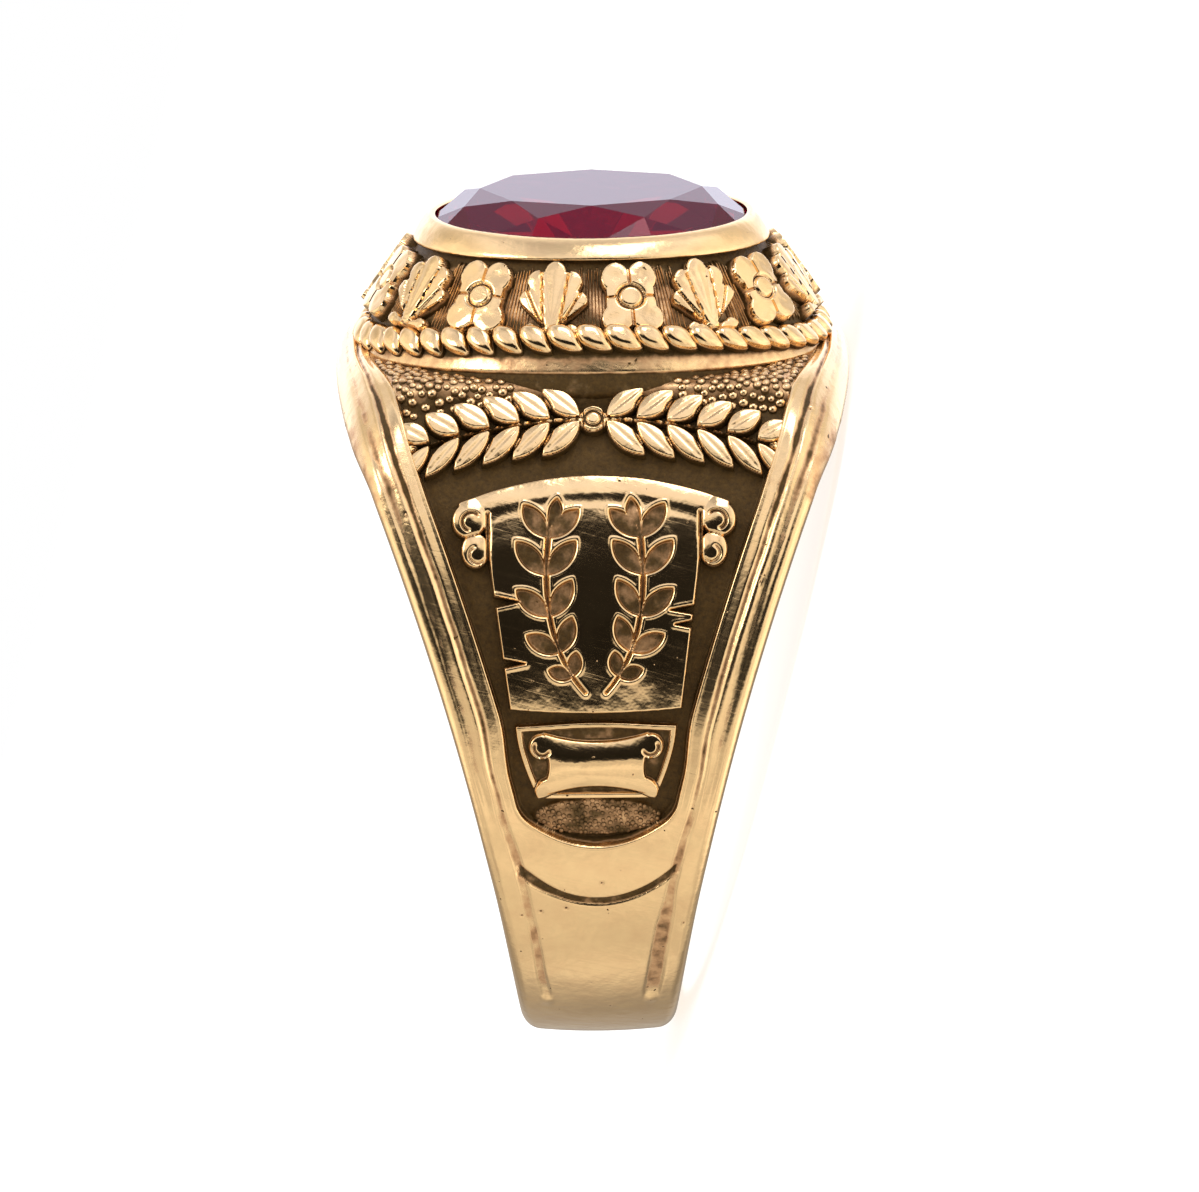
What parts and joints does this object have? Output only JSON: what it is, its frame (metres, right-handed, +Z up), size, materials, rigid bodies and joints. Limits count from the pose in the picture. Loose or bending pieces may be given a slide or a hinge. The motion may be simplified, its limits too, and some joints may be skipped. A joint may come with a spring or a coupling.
{
  "type": "gemstone ring",
  "caption": "Yellow gold finger ring with an oval faceted red stone in a rimmed head, a rope border and sunk ornamented shoulders.",
  "frame": {"origin": "on the surface the ring lies on, under the middle of its bounding box", "axes": "+Z up from the surface; +X from the back of the hoop to the stone, which is raised 14.9 degrees because the ring leans on its wide shoulders; +Y from the shoulder in the picture to the other shoulder; the finger axis leans 14.9 degrees from +Z towards -X"},
  "size_m": [0.0284, 0.0228, 0.0163],
  "materials": {
    "gold": "cast yellow gold, polished on the raised parts, dark patina in the sunk ones",
    "ruby": "faceted and polished red stone"
  },
  "bodies": {
    "root": {"ring_body": "gold", "stone": "ruby"}
  },
  "joints": []
}
